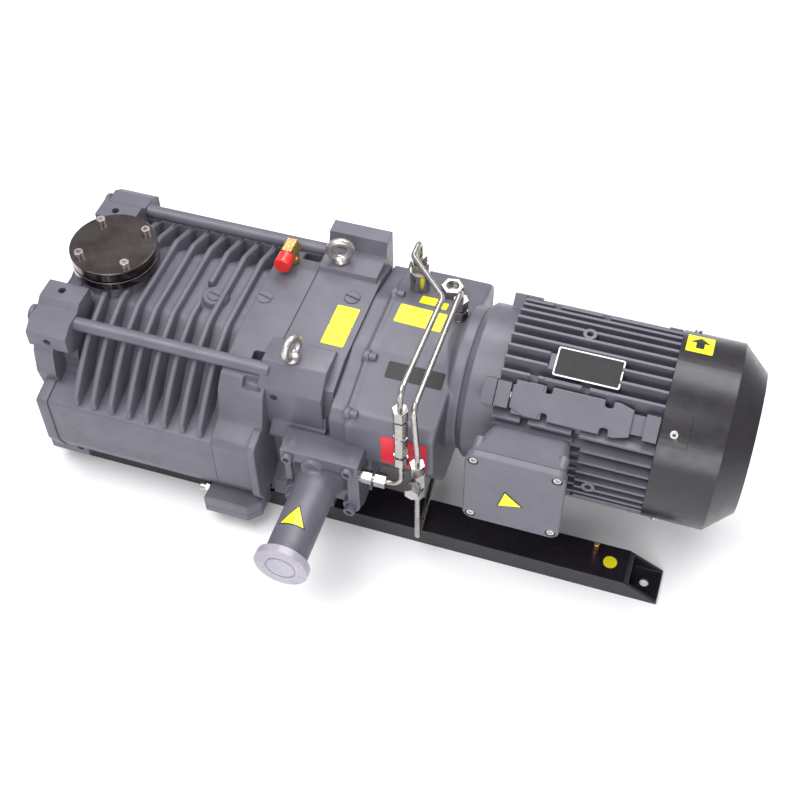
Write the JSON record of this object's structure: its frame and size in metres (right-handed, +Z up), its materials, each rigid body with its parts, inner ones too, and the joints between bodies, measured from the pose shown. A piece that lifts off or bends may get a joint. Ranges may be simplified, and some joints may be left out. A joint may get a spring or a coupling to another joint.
{
  "type": "roots vacuum pump",
  "caption": "Dry multi-stage roots vacuum pump set on two rails, with finned stator, timing gearbox, capped inlet and exhaust ports and a fan-cooled flange motor.",
  "frame": {"origin": "centre of the base bolt pattern, on the floor under the rails", "axes": "+X along the shafts from the end cover towards the motor, +Z up, -Y the side of the exhaust and the terminal box"},
  "size_m": [0.764, 0.4099, 0.274],
  "materials": {
    "cast_housing": "satin grey over sand-cast aluminium and iron",
    "black_paint": "semi-gloss black",
    "stainless": "turned stainless steel",
    "zinc_steel": "bright zinc",
    "machined_steel": "ground",
    "rotor_iron": "machined all over",
    "stator_core": "varnished laminations and windings",
    "elastomer": "matt",
    "brass": "turned",
    "red_plastic": "moulded",
    "white_plastic": "translucent moulded",
    "dark_plastic": "moulded"
  },
  "bodies": {
    "housing": {"base_rail_front": "black_paint", "base_rail_rear": "black_paint", "bearing_cover": "cast_housing", "bearings": "machined_steel", "check_valve": "stainless", "cover_screws": "zinc_steel", "earth_stud": "zinc_steel", "end_cover": "cast_housing", "exhaust_gasket": "elastomer", "exhaust_manifold": "cast_housing", "fan_cowl": "black_paint", "foot_bolts": "zinc_steel", "gas_tube_lower": "stainless", "gas_tube_upper": "stainless", "gearbox_casing": "cast_housing", "headplate": "cast_housing", "hex_plug": "stainless", "housing_screws": "zinc_steel", "inlet_adapter": "stainless", "inlet_blank": "stainless", "inlet_screws": "zinc_steel", "inlet_seal": "elastomer", "lifting_eyes": "zinc_steel", "motor_bell": "cast_housing", "motor_bolts": "zinc_steel", "motor_end_shield": "cast_housing", "motor_frame": "cast_housing", "motor_stator": "stator_core", "partition_plates": "rotor_iron", "purge_fitting": "brass", "sense_tube_lower": "stainless", "sense_tube_upper": "stainless", "sensor_box": "cast_housing", "sensor_box_lid": "cast_housing", "sensor_gland": "zinc_steel", "shaft_seals": "elastomer", "slotted_plugs": "stainless", "stator_exhaust": "cast_housing", "stator_finned": "cast_housing", "tee_fitting": "stainless", "terminal_block": "dark_plastic", "terminal_box": "cast_housing", "terminal_gasket": "elastomer", "terminal_lid": "cast_housing", "tie_rod_caps": "zinc_steel", "tie_rod_front": "zinc_steel", "tie_rod_rear": "zinc_steel", "tube_fittings": "stainless"},
    "drive_group": {"drive_shaft": "machined_steel", "drive_rotors": "rotor_iron", "drive_gear": "machined_steel", "coupling_hubs": "machined_steel", "coupling_spider": "elastomer", "motor_rotor": "machined_steel", "cooling_fan": "dark_plastic"},
    "driven_group": {"driven_shaft": "machined_steel", "driven_rotors": "rotor_iron", "driven_gear": "machined_steel"},
    "exhaust_cap": {"exhaust_cap": "white_plastic"},
    "purge_cap": {"purge_cap": "red_plastic"}
  },
  "joints": [
    {"name": "drive_spin", "type": "hinge", "parent": "housing", "child": "drive_group", "pos_m": [0, 0, 0.155], "axis": [1, 0, 0], "continuous": true},
    {"name": "driven_spin", "type": "hinge", "parent": "housing", "child": "driven_group", "pos_m": [0, 0, 0.103], "axis": [1, 0, 0], "continuous": true},
    {"name": "exhaust_cap_slide", "type": "slide", "parent": "housing", "child": "exhaust_cap", "axis": [0, -1, 0], "range_m": [0, 0.03]},
    {"name": "purge_cap_slide", "type": "slide", "parent": "housing", "child": "purge_cap", "axis": [0, -1, 0], "range_m": [0, 0.02]}
  ],
  "couplings": [
    {"joint": "driven_spin", "follows": "drive_spin", "ratio": -1}
  ]
}
